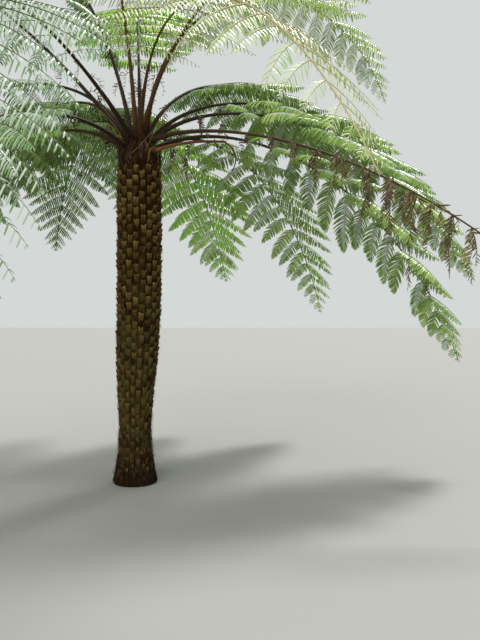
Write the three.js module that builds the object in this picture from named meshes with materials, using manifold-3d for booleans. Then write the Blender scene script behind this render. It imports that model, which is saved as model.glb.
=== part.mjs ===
// A tree fern: a slender trunk covered with the stubs of old fronds, and a full crown of arching fronds.
// Millimetres, +Z up. The origin is the middle of the flat cut under the trunk, at ground level.
import * as THREE from "three";
import Module from "manifold-3d";

const wasm = await Module();
wasm.setup();

// Driving dimensions, in millimetres and degrees
const clearance = 0.35; // left between pieces that meet

const trunk = {
  // [height, radius] up the trunk: root flare, slim foot, thick upper stem, rounded top
  profile: [
    [0, 104],
    [70, 89],
    [170, 78],
    [260, 75],
    [380, 82],
    [640, 98],
    [880, 103],
    [1450, 103],
    [1560, 101],
    [1620, 90],
    [1655, 68],
    [1678, 38],
  ],
  footRings: [0, 45], // heights of the plain rings under the stubs
  crownRings: [1612, 1640, 1664, 1678],
  crownTop: 1686,
  lean: 20, // how far the crown stands to +X of the foot
  leanHeights: [250, 1000], // between which the middle line crosses over
  stubColumns: 20,
  stubPitch: 52, // from one stub to the next one above it
  stubRelief: 6, // the lip of a stub stands out by this, and the groove over it goes in
  stubLip: 9, // from the lip up to the groove
  firstStub: 110,
  lastStub: 1560,
};

const stalk = {
  bareShare: 0.2, // of a frond's length, before its first leaflets
  bareSteps: 5,
  baseRadius: 14,
  bladeRadius: 8.5,
  tipRadius: 2,
  tipPoint: 8, // length of the point past the last leaflets
  socketSteps: 2, // steps of the bare stalk that the socket in the trunk follows
  splitPair: 8, // the frond is two pieces, parted at this pair of leaflets
  roll: 6, // the most that a frond is turned about its own rib
  pathSteps: 80,
};

const leaflet = {
  pairs: 18,
  crowding: 1.25, // over 1, the pairs are closer together towards the tip
  length: 470, // the longest one
  baseShare: 0.5, // of that length for the first pair
  fullFrom: 0.34, // share of the blade where they reach it
  ridge: 5, // height of its midrib over its edges: its thickness
  widthShare: 0.86, // of the spacing along the rib
  witheredWidth: 0.45, // of that width on a withered frond
  midShare: 0.45, // where it is widest
  droop: [14, 46], // below the level, for its inner and outer length
  witheredDroop: 34, // added on a withered frond
  sweep: [8, 44], // turned towards the tip, at the blade's base and tip
  uneven: { sweep: 2.5, droop: 5, length: 0.07, frond: 0.05 }, // how far these vary, by chance
  reaches: [1, 0.85, 0.7, 0.5], // shares of its length that are tried before it is left out
  room: 1, // kept free round it
  rootShare: 0.12, // of its inner length, that may merge with the next leaflet's root
};

// The crown: three rings that the stalks grow from, by distance from the trunk's middle and height. A frond leaves
// its ring at the angle seat and heads for azimuth, climbing at rise. Its climb then turns to fall at the tip, soonest
// where early is small, and its heading swings by sway.
const crown = {
  low: {
    ring: [80, 1598],
    fronds: {
      right: { seat: 12, azimuth: 10, rise: 53, fall: -70, early: 0.44, length: 2150, sway: 2 },
      back_right: { seat: 50, azimuth: 55, rise: 50, fall: -68, early: 0.6, length: 2150, sway: -3 },
      back: { seat: 84, azimuth: 83, rise: 51, fall: -60, early: 0.64, length: 2050, sway: -12 },
      back_left: { seat: 120, azimuth: 120, rise: 51, fall: -66, early: 0.9, length: 2050, sway: -2 },
      left_back: { seat: 156, azimuth: 150, rise: 50, fall: -60, early: 0.6, length: 2050, sway: 0 },
      left: { seat: 214, azimuth: 228, rise: 56, fall: -70, early: 0.4, length: 2050, sway: 40 },
    },
  },
  mid: {
    ring: [60, 1638],
    fronds: {
      withered: { seat: -18, azimuth: -13, rise: 30, fall: -46, early: 0.4, length: 2150, sway: -6 },
      right: { seat: 14, azimuth: 17, rise: 62, fall: -57, early: 0.48, length: 2200, sway: 0 },
      right_back: { seat: 45, azimuth: 31, rise: 70, fall: -48, early: 0.5, length: 2300, sway: -9 },
      back_right: { seat: 76, azimuth: 56, rise: 72, fall: -38, early: 0.65, length: 2300, sway: -4 },
      back: { seat: 107, azimuth: 100, rise: 62, fall: -48, early: 0.7, length: 2200, sway: 2 },
      back_left: { seat: 139, azimuth: 134, rise: 60, fall: -50, early: 0.7, length: 2200, sway: 0 },
      left: { seat: 171, azimuth: 161, rise: 76, fall: -72, early: 0.64, length: 2150, sway: 4 },
      left_front: { seat: 206, azimuth: 204, rise: 48, fall: -50, early: 1.6, length: 2350, sway: 8 },
      front_left: { seat: 245, azimuth: 243, rise: 38, fall: -84, early: 0.93, length: 2430, sway: 66 },
      front_right: { seat: 284, azimuth: 283, rise: 75, fall: -65, early: 0.54, length: 2150, sway: 32 },
    },
  },
  top: {
    ring: [36, 1661],
    fronds: {
      front: { seat: 252, azimuth: 256, rise: 81, fall: -12, early: 1.4, length: 2050, sway: 2 },
      right_front: { seat: 308, azimuth: 308, rise: 74, fall: -52, early: 0.7, length: 2300, sway: 12 },
      right: { seat: 5, azimuth: 20, rise: 88, fall: -66, early: 1.1, length: 2150, sway: 14 },
      back: { seat: 90, azimuth: 104, rise: 76, fall: -18, early: 1.25, length: 2150, sway: -13 },
      left: { seat: 166, azimuth: 170, rise: 78, fall: -14, early: 1.5, length: 2250, sway: 0 },
    },
  },
};
const witheredFrond = "mid_withered";

// A dead stalk that snapped off, and the end that hangs from the break
const brokenStalk = {
  ring: [78, 1584],
  azimuth: -26,
  rise: 16,
  fall: -8,
  early: 1,
  length: 360,
  sway: 22,
  radius: [13, 8],
  steps: 7,
};
const hangingEnd = {
  azimuth: -4,
  rise: -38,
  fall: -84,
  early: 0.8,
  length: 210,
  sway: -20,
  radius: [4, 2],
  steps: 5,
};

const finishes = {
  trunk: { color: 0x4a3320, roughness: 0.95, metalness: 0 },
  deadStalk: { color: 0x4a2a18, roughness: 0.8, metalness: 0 },
  frond: { color: 0x5c8a35, roughness: 0.55, metalness: 0 },
  withered: { color: 0x6b4a2e, roughness: 0.9, metalness: 0 },
};

const degrees = Math.PI / 180;
const upright = new THREE.Vector3(0, 0, 1);
const mix = (a, b, t) => a + (b - a) * t;
const sides = [
  [1, "left"],
  [-1, "right"],
];

// A repeatable random number from -1 to 1 for item b of frond a
function jitter(a, b) {
  const wave = Math.sin(a * 12.9898 + b * 78.233) * 43758.5453;
  return 2 * (wave - Math.floor(wave)) - 1;
}

// A growing list of corners and outward faces that becomes one closed mesh
class Shell {
  constructor() {
    this.corners = [];
    this.faces = [];
  }
  add(point) {
    this.corners.push(point.x, point.y, point.z);
    return this.corners.length / 3 - 1;
  }
  // side -1 mirrors the piece, which turns its faces round
  face(a, b, c, side = 1) {
    this.faces.push(a, side > 0 ? b : c, side > 0 ? c : b);
  }
  solid() {
    return new wasm.Manifold(
      new wasm.Mesh({
        numProp: 3,
        vertProperties: new Float32Array(this.corners),
        triVerts: new Uint32Array(this.faces),
      }),
    );
  }
}

function radiusAt(height) {
  const above = trunk.profile.findIndex(([z]) => z >= height);
  if (above === 0) return trunk.profile[0][1];
  const [z0, r0] = trunk.profile[above - 1];
  const [z1, r1] = trunk.profile[above];
  return mix(r0, r1, (height - z0) / (z1 - z0));
}

// The trunk: rings of corners, one corner for each column of stubs. Rings step up and down by half a stub from
// column to column, and each row of stubs has a lip and, just above it, a groove.
function trunkSolid() {
  const shell = new Shell();
  const count = trunk.stubColumns;
  const rows = [];
  const ring = (height, step, outward) =>
    rows.push(
      Array.from({ length: count }, (_, j) => {
        const z = height + (j % 2) * step;
        const r = radiusAt(z) + outward;
        const angle = (2 * Math.PI * j) / count;
        const middle = trunk.lean * THREE.MathUtils.smoothstep(z, ...trunk.leanHeights);
        return shell.add(new THREE.Vector3(middle + r * Math.cos(angle), r * Math.sin(angle), z));
      }),
    );
  for (const z of trunk.footRings) ring(z, 0, 0);
  for (let z = trunk.firstStub; z < trunk.lastStub; z += trunk.stubPitch) {
    ring(z, trunk.stubPitch / 2, trunk.stubRelief);
    ring(z + trunk.stubLip, trunk.stubPitch / 2, -trunk.stubRelief);
  }
  for (const z of trunk.crownRings) ring(z, 0, 0);
  const foot = shell.add(new THREE.Vector3(0, 0, 0));
  const top = shell.add(new THREE.Vector3(trunk.lean, 0, trunk.crownTop));
  for (let j = 0; j < count; j++) {
    const next = (j + 1) % count;
    for (let k = 1; k < rows.length; k++) {
      shell.face(rows[k - 1][j], rows[k - 1][next], rows[k][next]);
      shell.face(rows[k - 1][j], rows[k][next], rows[k][j]);
    }
    shell.face(foot, rows[0][next], rows[0][j]);
    shell.face(top, rows.at(-1)[j], rows.at(-1)[next]);
  }
  return shell.solid();
}

function crownPoint([out, height], angle) {
  const offset = new THREE.Vector3(out, 0, height).applyAxisAngle(upright, angle * degrees);
  return offset.setX(offset.x + trunk.lean);
}

// A limb's middle line as a function of the distance along it: the point, and the tangent, side and normal there
function middleLine({ azimuth, rise, fall, early, length, sway }, start, roll) {
  const steps = stalk.pathSteps;
  const headingAt = (u) => (azimuth + sway * u) * degrees;
  const tangentAt = (u) => {
    const climb = mix(rise, fall, u ** early) * degrees;
    return new THREE.Vector3(Math.cos(climb), 0, Math.sin(climb)).applyAxisAngle(upright, headingAt(u));
  };
  const points = [start.clone()];
  for (let i = 0; i < steps; i++)
    points.push(points[i].clone().addScaledVector(tangentAt((i + 0.5) / steps), length / steps));
  return (distance) => {
    const u = distance / length;
    const i = Math.min(steps - 1, Math.floor(u * steps));
    const point = points[i].clone().lerp(points[i + 1], u * steps - i);
    const tangent = tangentAt(u);
    const side = new THREE.Vector3(0, 1, 0).applyAxisAngle(upright, headingAt(u));
    side.applyAxisAngle(tangent, roll * degrees);
    return { point, tangent, side, normal: tangent.clone().cross(side) };
  };
}

// Evenly spaced samples of a plain stalk's middle line
function stalkSamples(part, start) {
  const line = middleLine(part, start, 0);
  return Array.from({ length: part.steps + 1 }, (_, i) => {
    const share = i / part.steps;
    return { ...line(share * part.length), radius: mix(...part.radius, share) };
  });
}

// Samples of a frond's middle line: a few along the bare stalk, then one between each two pairs of leaflets. blade
// runs from 0 to 1 along the leafy part.
function frondSamples(frond) {
  const start = crownPoint(frond.ring, frond.seat);
  const line = middleLine(frond, start, stalk.roll * jitter(frond.serial, 7));
  const bare = frond.length * stalk.bareShare;
  const leafy = frond.length - bare - stalk.tipPoint;
  const samples = [];
  for (let i = 0; i < stalk.bareSteps; i++) {
    const share = i / stalk.bareSteps;
    const radius = mix(stalk.baseRadius, stalk.bladeRadius, share);
    samples.push({ ...line(bare * share), radius, blade: 0 });
  }
  for (let i = 0; i <= leaflet.pairs; i++) {
    const blade = 1 - (1 - i / leaflet.pairs) ** leaflet.crowding;
    const radius = mix(stalk.bladeRadius, stalk.tipRadius, blade);
    samples.push({ ...line(bare + leafy * blade), radius, blade });
  }
  return samples;
}

// How long a leaflet is, against the longest, at a share of the blade from its base to its tip
function lengthShare(blade) {
  const rise = Math.sin((Math.PI / 2) * Math.min(1, blade / leaflet.fullFrom));
  return mix(leaflet.baseShare, 1, rise) * (1 - blade ** 2.3) ** 0.85;
}

// The corners of one leaflet between two samples of the rib: a blade with a ridge on top
function leafletCorners(back, front, side, serial, frond, reach) {
  const blade = (back.blade + front.blade) / 2;
  const uneven = (what, salt) => leaflet.uneven[what] * jitter(frond.serial, serial + salt);
  const outward = back.side.clone().multiplyScalar(side);
  const sweep = (mix(...leaflet.sweep, blade) + uneven("sweep", 0)) * degrees;
  const level = outward.clone().multiplyScalar(Math.cos(sweep)).addScaledVector(back.tangent, Math.sin(sweep));
  const longest = leaflet.length * frond.fullness * (1 + uneven("length", 50));
  const length = longest * lengthShare(blade) * reach;
  const [inner, outer] = leaflet.droop.map((droop) => {
    const angle = (droop + uneven("droop", 90) + (frond.withered ? leaflet.witheredDroop : 0)) * degrees;
    const direction = level.clone().multiplyScalar(Math.cos(angle));
    direction.z -= Math.sin(angle);
    return direction.normalize();
  });
  const middle = back.point.clone().lerp(front.point, 0.5).addScaledVector(outward, back.radius);
  const mid = middle.clone().addScaledVector(inner, length * leaflet.midShare);
  const across = back.tangent.clone().addScaledVector(inner, -back.tangent.dot(inner)).normalize();
  const up = inner.clone().cross(across).multiplyScalar(-side);
  const spacing = back.point.distanceTo(front.point) * Math.cos(sweep);
  const half = (spacing * leaflet.widthShare * (frond.withered ? leaflet.witheredWidth : 1)) / 2;
  return {
    rootBack: back.point.clone().addScaledVector(outward, back.radius),
    rootFront: front.point.clone().addScaledVector(outward, front.radius),
    rootRidge: middle.clone().addScaledVector(back.normal, leaflet.ridge),
    midBack: mid.clone().addScaledVector(across, -half).addScaledVector(up, -leaflet.ridge / 2),
    midFront: mid.clone().addScaledVector(across, half).addScaledVector(up, -leaflet.ridge / 2),
    midRidge: mid.clone().addScaledVector(up, leaflet.ridge / 2),
    tip: mid.clone().addScaledVector(outer, length * (1 - leaflet.midShare)),
  };
}

// A leaflet's shape from the share inset of its inner length, grown by room all round, to test what it touches
function leafletSpace(corners, side, inset, room) {
  const { rootBack, rootFront, rootRidge, midBack, midFront, midRidge, tip } = corners;
  const shell = new Shell();
  const up = rootRidge.clone().sub(rootBack.clone().lerp(rootFront, 0.5)).setLength(room);
  const along = midFront.clone().sub(midBack).setLength(room);
  const outward = tip.clone().sub(midRidge).setLength(room);
  const down = up.clone().negate();
  const a = shell.add(rootBack.clone().lerp(midBack, inset).add(down));
  const b = shell.add(rootRidge.clone().lerp(midRidge, inset).add(up));
  const c = shell.add(rootFront.clone().lerp(midFront, inset).add(down));
  const d = shell.add(midBack.clone().add(down).sub(along));
  const e = shell.add(midRidge.clone().add(up));
  const f = shell.add(midFront.clone().add(down).add(along));
  const g = shell.add(tip.clone().add(outward));
  const rootFaces = [[a, c, b], [a, b, e], [a, e, d], [b, c, f], [b, f, e], [c, a, d], [c, d, f]];
  const tipFaces = [[d, e, g], [e, f, g], [f, d, g]];
  for (const corner of [...rootFaces, ...tipFaces]) shell.face(...corner, side);
  return shell.solid();
}

// Solids already in place, by what they belong to. Leaflets of one frond may share their roots, but nothing else.
const placed = [];
function place(owner, solid, blade = null) {
  placed.push({ owner, solid, blade, box: solid.boundingBox() });
}

function isFree(owner, solid, blade) {
  const box = solid.boundingBox();
  const boxesMeet = ({ min, max }) => [0, 1, 2].every((k) => box.min[k] <= max[k] && min[k] <= box.max[k]);
  const volumeShared = (other) => {
    if (other.owner !== owner) return solid.intersect(other.solid).volume();
    return other.blade ? blade.intersect(other.blade).volume() : 0;
  };
  return !placed.some((other) => boxesMeet(other.box) && volumeShared(other) > 0);
}

// The leaflet on one side of a step of the rib, at the longest reach that is free, or null
function growLeaflet(back, front, side, serial, frond) {
  for (const reach of leaflet.reaches) {
    const corners = leafletCorners(back, front, side, serial, frond, reach);
    const space = leafletSpace(corners, side, 0, leaflet.room);
    const blade = leafletSpace(corners, side, leaflet.rootShare, 0);
    if (isFree(frond.name, space, blade)) {
      place(frond.name, space, blade);
      return corners;
    }
  }
  return null;
}

function addLeafletFaces(shell, from, to, edge, side, corners) {
  const keys = ["rootRidge", "midBack", "midFront", "midRidge", "tip"];
  const [root, back, front, ridge, tip] = keys.map((key) => shell.add(corners[key]));
  shell.face(from.top, to.top, root, side);
  shell.face(to.top, to[edge], root, side);
  shell.face(root, from[edge], from.top, side);
  shell.face(to[edge], front, ridge, side);
  shell.face(to[edge], ridge, root, side);
  shell.face(root, ridge, back, side);
  shell.face(root, back, from[edge], side);
  shell.face(front, tip, ridge, side);
  shell.face(ridge, tip, back, side);
  shell.face(back, tip, front, side);
  shell.face(from[edge], back, front, side);
  shell.face(from[edge], front, to[edge], side);
}

// A stretch of rib with four sides, which carries a leaflet on each side of the steps that have one
function ribSolid(samples, leaflets = [], endsInPoint = false) {
  const shell = new Shell();
  const ringsOfRib = samples.map(({ point, side, normal, radius }) => ({
    top: shell.add(point.clone().addScaledVector(normal, radius)),
    bottom: shell.add(point.clone().addScaledVector(normal, -radius)),
    left: shell.add(point.clone().addScaledVector(side, radius)),
    right: shell.add(point.clone().addScaledVector(side, -radius)),
  }));
  const first = ringsOfRib[0];
  const last = ringsOfRib.at(-1);
  const { point, tangent } = samples.at(-1);
  const end = endsInPoint ? shell.add(point.clone().addScaledVector(tangent, stalk.tipPoint)) : null;
  for (const [side, edge] of sides) {
    shell.face(first.top, first[edge], first.bottom, side);
    if (endsInPoint) {
      shell.face(last.top, end, last[edge], side);
      shell.face(last.bottom, last[edge], end, side);
    } else shell.face(last.top, last.bottom, last[edge], side);
    for (let i = 1; i < ringsOfRib.length; i++) {
      const [from, to] = [ringsOfRib[i - 1], ringsOfRib[i]];
      const corners = leaflets[i - 1]?.[edge];
      shell.face(from.bottom, from[edge], to[edge], side);
      shell.face(from.bottom, to[edge], to.bottom, side);
      if (corners) addLeafletFaces(shell, from, to, edge, side, corners);
      else {
        shell.face(from.top, to.top, to[edge], side);
        shell.face(from.top, to[edge], from[edge], side);
      }
    }
  }
  return shell.solid();
}

const thicker = (samples, extra) => samples.map((sample) => ({ ...sample, radius: sample.radius + extra }));
const shifted = (sample, distance) => ({
  ...sample,
  point: sample.point.clone().addScaledVector(sample.tangent, distance),
});

// The room for a stalk's root in the trunk. The rib's flat sides move out by about 0.7 of what its radius grows.
function socketSolid(samples) {
  const [root, ...rest] = thicker(samples.slice(0, stalk.socketSteps + 1), 1.5 * clearance);
  return ribSolid([shifted(root, -clearance), ...rest]);
}

const fern = new THREE.Group();
function addNode(name, solid, finish) {
  const { vertProperties, triVerts } = solid.getMesh();
  const geometry = new THREE.BufferGeometry();
  geometry.setAttribute("position", new THREE.BufferAttribute(new Float32Array(vertProperties), 3));
  geometry.setIndex(new THREE.BufferAttribute(new Uint32Array(triVerts), 1));
  geometry.computeVertexNormals();
  const mesh = new THREE.Mesh(geometry, new THREE.MeshStandardMaterial(finishes[finish]));
  mesh.name = name;
  fern.add(mesh);
}

// The trunk, the broken stalk and all ribs take their places first, so that no leaflet grows through one
const grownFronds = [];
for (const [level, { ring, fronds }] of Object.entries(crown))
  for (const [position, shape] of Object.entries(fronds)) {
    const name = `${level}_${position}`;
    const serial = grownFronds.length + 1;
    const fullness = 1 + leaflet.uneven.frond * jitter(serial, 3);
    const frond = { ...shape, ring, name, serial, fullness, withered: name === witheredFrond };
    grownFronds.push({ frond, samples: frondSamples(frond) });
  }

const brokenSamples = stalkSamples(brokenStalk, crownPoint(brokenStalk.ring, brokenStalk.azimuth));
const breakFace = shifted(brokenSamples.at(-1), clearance);
const [, ...hangingSamples] = stalkSamples(hangingEnd, breakFace.point);
const brokenSolid = ribSolid(brokenSamples);
const hangingSolid = ribSolid([{ ...breakFace, radius: hangingEnd.radius[0] }, ...hangingSamples], [], true);

let stem = trunkSolid().subtract(socketSolid(brokenSamples));
for (const { samples } of grownFronds) stem = stem.subtract(socketSolid(samples));

place("trunk", stem);
place("broken stalk", brokenSolid);
place("broken stalk", hangingSolid);
for (const { frond, samples } of grownFronds)
  place(frond.name, ribSolid(thicker(samples, 2 * clearance)));

addNode("trunk", stem, "trunk");
addNode("broken_stalk", brokenSolid, "deadStalk");
addNode("broken_stalk_end", hangingSolid, "deadStalk");

// Each frond: its leaflets from base to tip, then its stalk's piece and its end's piece, parted at the bend
for (const { frond, samples } of grownFronds) {
  const leaflets = samples.slice(1).map((front, i) => {
    if (i < stalk.bareSteps) return {};
    const grow = ([side, edge]) => [edge, growLeaflet(samples[i], front, side, 2 * i + side, frond)];
    return Object.fromEntries(sides.map(grow));
  });
  const split = stalk.bareSteps + stalk.splitPair;
  const inner = samples.slice(0, split + 1);
  const outer = [shifted(samples[split], clearance), ...samples.slice(split + 1)];
  const finish = frond.withered ? "withered" : "frond";
  addNode(`frond_${frond.name}`, ribSolid(inner, leaflets.slice(0, split)), finish);
  addNode(`frond_${frond.name}_end`, ribSolid(outer, leaflets.slice(split), true), finish);
}

export default fern;
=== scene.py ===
import bmesh
import bpy
import numpy as np
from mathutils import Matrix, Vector, noise


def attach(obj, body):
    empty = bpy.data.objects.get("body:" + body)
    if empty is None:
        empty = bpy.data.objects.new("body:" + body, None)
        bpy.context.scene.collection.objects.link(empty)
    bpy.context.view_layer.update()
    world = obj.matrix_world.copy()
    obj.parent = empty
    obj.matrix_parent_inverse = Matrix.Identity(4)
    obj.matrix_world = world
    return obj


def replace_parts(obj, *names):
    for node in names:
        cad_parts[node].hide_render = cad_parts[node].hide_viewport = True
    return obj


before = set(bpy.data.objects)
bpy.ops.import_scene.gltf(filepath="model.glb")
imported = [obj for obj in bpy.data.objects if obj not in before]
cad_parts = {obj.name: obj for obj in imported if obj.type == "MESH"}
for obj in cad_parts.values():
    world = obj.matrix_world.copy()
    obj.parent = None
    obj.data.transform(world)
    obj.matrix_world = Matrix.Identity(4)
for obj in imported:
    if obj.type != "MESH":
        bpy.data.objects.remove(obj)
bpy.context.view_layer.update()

mm = 0.001
chance = np.random.default_rng(11)
upward = np.array([0.0, 0.0, 1.0])


# Small helpers

def linearColour(hexValue):
    shares = [int(hexValue[i:i + 2], 16) / 255 for i in (1, 3, 5)]
    return tuple(c / 12.92 if c <= 0.04045 else ((c + 0.055) / 1.055) ** 2.4 for c in shares) + (1.0,)


# Inputs go by name or number: a mix of colours has its share at 0 and its colours at 6 and 7
def addNode(tree, kind, settings=None, links=None):
    node = tree.nodes.new(kind)
    for key, value in (settings or {}).items():
        if isinstance(key, int) or key in node.inputs:
            node.inputs[key].default_value = value
        else:
            setattr(node, key, value)
    for key, source in (links or {}).items():
        tree.links.new(source, node.inputs[key])
    return node


def newMaterial(name, settings):
    material = bpy.data.materials.new(name)
    material.use_nodes = True
    tree = material.node_tree
    tree.nodes.clear()
    shader = addNode(tree, "ShaderNodeBsdfPrincipled", settings)
    addNode(tree, "ShaderNodeOutputMaterial", None, {"Surface": shader.outputs["BSDF"]})
    return material, tree, shader


def fillRamp(ramp, stops):
    elements = ramp.color_ramp.elements
    while len(elements) > 1:
        elements.remove(elements[-1])
    elements[0].position = stops[0][0]
    elements[0].color = linearColour(stops[0][1])
    for position, colour in stops[1:]:
        elements.new(position).color = linearColour(colour)
    return ramp


def mix(a, b, share):
    return a + (b - a) * share


# From 0 at the first place to 1 at the second, which may be the lower one
def smoothStep(x, first, second):
    t = np.clip((x - first) / (second - first), 0, 1)
    return t * t * (3 - 2 * t)


def unit(vectors):
    return vectors / np.linalg.norm(vectors, axis=-1, keepdims=True)


# From the first direction, turned towards the second
def turned(first, second, angle):
    return first * np.cos(angle) + second * np.sin(angle)


def levelWay(angle):
    return np.stack([np.cos(angle), np.sin(angle), np.zeros_like(angle)], -1)


# The nearest directions that are at right angles to the axes
def squareTo(axes, directions):
    return unit(directions - axes * np.sum(axes * directions, -1, keepdims=True))


# A repeatable number from -1 to 1 for item b of frond a, the same as in the frame's rule
def jitter(a, b):
    wave = np.sin(a * 12.9898 + b * 78.233) * 43758.5453
    return 2 * (wave - np.floor(wave)) - 1


# Corners and faces of a template that a bmesh operator made
def templateArrays(bm):
    bm.verts.index_update()
    corners = np.array([v.co[:] for v in bm.verts])
    faces = np.array([[v.index for v in face.verts] for face in bm.faces])
    bm.free()
    return corners, faces


# Copies of a template's corners. Each part is an axis and a size on every copy, and the corners' shares.
def spreadCopies(roots, parts):
    placed = roots[:, None]
    for axes, shares, sizes in parts:
        placed = placed + axes[:, None] * (shares[None, :, None] * sizes[:, None, None])
    return placed


def addObject(name, data):
    item = bpy.data.objects.new(name, data)
    bpy.context.scene.collection.objects.link(item)
    return item


def addPiece(name, mesh, materials):
    for material in materials:
        mesh.materials.append(material)
    piece = addObject(name, mesh)
    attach(piece, "root")
    return piece


# One mesh of many copies of a template. placed is copies x corners x 3, and slots picks the materials by the
# copy or by the face.
def joinCopies(name, placed, faces, slots, materials):
    count, size = placed.shape[:2]
    allFaces = (faces[None] + np.arange(count)[:, None, None] * size).reshape(-1, faces.shape[1])
    mesh = bpy.data.meshes.new(name)
    mesh.vertices.add(count * size)
    mesh.vertices.foreach_set("co", placed.astype(np.float32).ravel())
    mesh.loops.add(allFaces.size)
    mesh.loops.foreach_set("vertex_index", allFaces.astype(np.int32).ravel())
    mesh.polygons.add(len(allFaces))
    mesh.polygons.foreach_set("loop_start", np.arange(len(allFaces), dtype=np.int32) * faces.shape[1])
    faceSlots = slots if slots.ndim == 2 else np.repeat(slots, len(faces))
    mesh.polygons.foreach_set("material_index", faceSlots.astype(np.int32).ravel())
    mesh.update(calc_edges=True)
    return addPiece(name, mesh, materials)


# One mesh of many tapering tubes: each is (points, radii, material slot), in millimetres
def joinTubes(name, tubes, roundness, materials):
    curve = bpy.data.curves.new(name, "CURVE")
    curve.dimensions = "3D"
    curve.bevel_depth = 1.0
    curve.bevel_resolution = roundness
    curve.use_fill_caps = True
    for material in materials:
        curve.materials.append(material)
    for points, radii, slot in tubes:
        spline = curve.splines.new("POLY")
        spline.points.add(len(points) - 1)
        spline.points.foreach_set("co", np.column_stack([points * mm, np.ones(len(points))]).ravel())
        spline.points.foreach_set("radius", radii * mm)
        spline.material_index = slot
        spline.use_smooth = True
    holder = addObject(name + "_path", curve)
    graph = bpy.context.evaluated_depsgraph_get()
    mesh = bpy.data.meshes.new_from_object(holder.evaluated_get(graph))
    mesh.name = name
    bpy.data.objects.remove(holder)
    bpy.data.curves.remove(curve)
    mesh.materials.clear()
    return addPiece(name, mesh, materials)


# Materials

# Fine relief from a noise, drawn out up the plant by a stretch under 1. It gives back the place on the plant,
# and the noise's value. A scale of 1 / strand / 4 makes cells of four strands, with finer ones inside them.
def addGrain(tree, shader, pattern, relief, stretch=1):
    place = addNode(tree, "ShaderNodeTexCoord").outputs["Object"]
    drawn = addNode(tree, "ShaderNodeMapping", {"Scale": (1, 1, stretch)}, {"Vector": place})
    grain = addNode(tree, "ShaderNodeTexNoise", pattern, {"Vector": drawn.outputs["Vector"]}).outputs["Fac"]
    bump = addNode(tree, "ShaderNodeBump", relief, {"Height": grain})
    tree.links.new(bump.outputs["Normal"], shader.inputs["Normal"])
    return place, grain


moss = {
    "heights": (1.4, 0.4),  # it starts at the first height, in metres, and is thickest at the second
    "thickest": 0.95,
    "patchesPerMetre": 14.0,
    "edge": (0.35, 0.65),  # the noise where a patch begins, and where it is full
}


# How mossy a place on the trunk is: more towards the ground, in patches
def mossShare(tree, place, least):
    pattern = {"Scale": moss["patchesPerMetre"], "Detail": 3.0}
    patches = addNode(tree, "ShaderNodeTexNoise", pattern, {"Vector": place})
    height = addNode(tree, "ShaderNodeSeparateXYZ", None, {"Vector": place})
    start, end = moss["heights"]
    low = addNode(tree, "ShaderNodeMapRange",
                  {"From Min": start, "From Max": end, "To Min": least, "To Max": moss["thickest"]},
                  {"Value": height.outputs["Z"]})
    thin, thick = moss["edge"]
    broken = addNode(tree, "ShaderNodeMapRange", {"From Min": thin, "From Max": thick},
                     {"Value": patches.outputs["Fac"]})
    share = addNode(tree, "ShaderNodeMath", {"operation": "MULTIPLY"},
                    {0: low.outputs["Result"], 1: broken.outputs["Result"]})
    return share.outputs["Value"]


# Matted rootlets and old scales between the stubs: dull, dark and soft, with moss near the ground
def mattedBark():
    material, tree, shader = newMaterial("mattedBark", {"Roughness": 0.95, "Specular IOR Level": 0.05})
    strand = 5 * mm
    place, strands = addGrain(tree, shader, {"Scale": 1 / strand / 4, "Detail": 5.0, "Roughness": 0.7},
                              {"Strength": 0.8, "Distance": 3 * mm}, 0.16)
    ramp = fillRamp(addNode(tree, "ShaderNodeValToRGB", None, {"Fac": strands}),
                    [(0.32, "#0e0400"), (0.5, "#200e03"), (0.78, "#42280e")])
    green = addNode(tree, "ShaderNodeMix", {"data_type": "RGBA", 7: linearColour("#3b391a")},
                    {0: mossShare(tree, place, 0.16), 6: ramp.outputs["Color"]})
    tree.links.new(green.outputs[2], shader.inputs["Base Color"])
    return material


# Weathered stalk bases: corky, striped lengthways and tan, with painted shade at the root and in the hollow
# and a painted highlight at the lip. Their map holds the height on the stub, and a tone of its own.
def weatheredShadedStub():
    material, tree, shader = newMaterial("weatheredShadedStub", {"Roughness": 0.85, "Specular IOR Level": 0.08})
    onMap = addNode(tree, "ShaderNodeTexCoord").outputs["UV"]
    onStub = addNode(tree, "ShaderNodeSeparateXYZ", None, {"Vector": onMap})
    # Dark at the root, lightest at the lip and near black in the hollow: painted shade and a painted
    # highlight over the stub's tan
    tone = fillRamp(addNode(tree, "ShaderNodeValToRGB", None, {"Fac": onStub.outputs["Y"]}),
                    [(0.0, "#160b02"), (0.15, "#3b2a12"), (0.4, "#634f2a"), (0.68, "#776538"),
                     (0.76, "#928150"), (0.83, "#291807"), (1.0, "#0b0401")])
    stripe = 2.4 * mm
    place, stripes = addGrain(tree, shader, {"Scale": 1 / stripe / 3, "Detail": 4.0, "Roughness": 0.65},
                              {"Strength": 0.7, "Distance": 1.5 * mm}, 0.12)
    dark = fillRamp(addNode(tree, "ShaderNodeValToRGB", None, {"Fac": stripes}),
                    [(0.34, "#4a3826"), (0.58, "#ffffff")])
    striped = addNode(tree, "ShaderNodeMix", {"data_type": "RGBA", "blend_type": "MULTIPLY", 0: 0.75},
                      {6: tone.outputs["Color"], 7: dark.outputs["Color"]})
    warm = fillRamp(addNode(tree, "ShaderNodeValToRGB", None, {"Fac": onStub.outputs["X"]}),
                    [(0.0, "#7d5a44"), (0.3, "#b39a78"), (0.6, "#d9cca6"), (1.0, "#fffbe0")])
    varied = addNode(tree, "ShaderNodeMix", {"data_type": "RGBA", "blend_type": "MULTIPLY", 0: 0.8},
                     {6: striped.outputs[2], 7: warm.outputs["Color"]})
    mossy = addNode(tree, "ShaderNodeMix", {"data_type": "RGBA", 7: linearColour("#4a4623")},
                    {0: mossShare(tree, place, 0.0), 6: varied.outputs[2]})
    tree.links.new(mossy.outputs[2], shader.inputs["Base Color"])
    return material


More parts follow.
